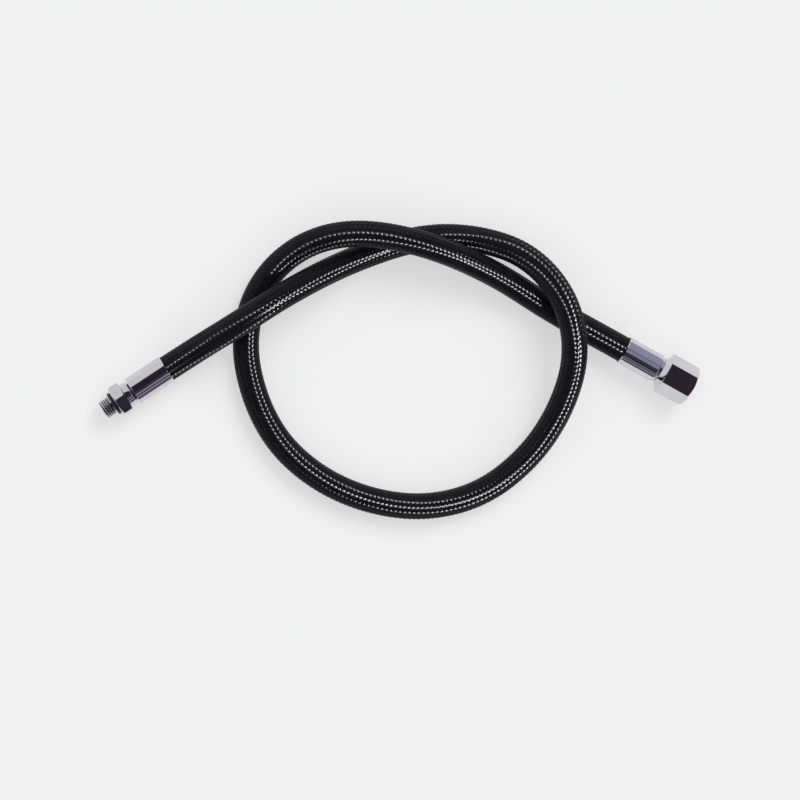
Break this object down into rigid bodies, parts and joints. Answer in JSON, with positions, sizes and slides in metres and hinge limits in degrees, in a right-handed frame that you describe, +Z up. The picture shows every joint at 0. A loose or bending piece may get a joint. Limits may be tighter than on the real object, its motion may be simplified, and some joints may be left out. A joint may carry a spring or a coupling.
{
  "type": "braided supply hose",
  "caption": "Black braided low-pressure hose in a loose overhand knot, with a male O-ring fitting and a female swivel nut in crimped chrome ferrules.",
  "frame": {"origin": "on the surface the hose lies on, midway between the two fittings", "axes": "+Z up from the surface; +X runs from the male fitting towards the female one"},
  "size_m": [0.2885, 0.1435, 0.0276],
  "materials": {
    "braid": "glossy black synthetic braid",
    "reinforcement": "matt polyester yarn",
    "liner": "smooth",
    "seal": "satin black",
    "chrome_stem": "polished chrome on brass",
    "chrome_nut": "polished chrome on brass",
    "chrome_ferrule": "polished, with faint turning lines"
  },
  "bodies": {
    "hose": {"liner_tube": "liner", "reinforcement_braid": "reinforcement", "outer_braid": "braid", "male_stem": "chrome_stem", "male_ferrule": "chrome_ferrule", "port_o_ring": "seal", "female_stem": "chrome_stem", "female_ferrule": "chrome_ferrule", "nose_o_ring": "seal"},
    "nut": {"swivel_nut": "chrome_nut"}
  },
  "joints": [
    {"name": "nut_spin", "type": "hinge", "parent": "hose", "child": "nut", "pos_m": [0.13345, -0.00094, 0.00873], "axis": [0.8732, -0.4874, 0], "continuous": true}
  ]
}
